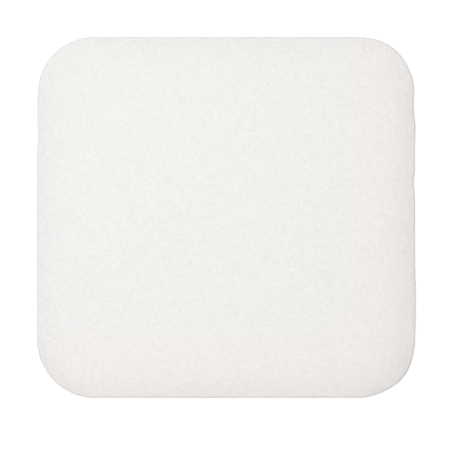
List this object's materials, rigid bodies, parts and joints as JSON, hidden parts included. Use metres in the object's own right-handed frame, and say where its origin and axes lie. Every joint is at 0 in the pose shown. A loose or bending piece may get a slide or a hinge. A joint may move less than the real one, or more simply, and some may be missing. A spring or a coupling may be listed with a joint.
{
  "type": "silicone foam dressing",
  "caption": "Soft white foam wound dressing: a thin, nearly square pad with rounded corners, a rolled edge and a flat skin contact face.",
  "frame": {"origin": "middle of the flat wound face, which the pad lies on", "axes": "+X along the longer side, +Y along the shorter side, +Z through the thickness, out of the crowned outer face"},
  "size_m": [0.105, 0.1, 0.005],
  "materials": {
    "foam": "matte"
  },
  "bodies": {
    "root": {"foam_pad": "foam"}
  },
  "joints": []
}
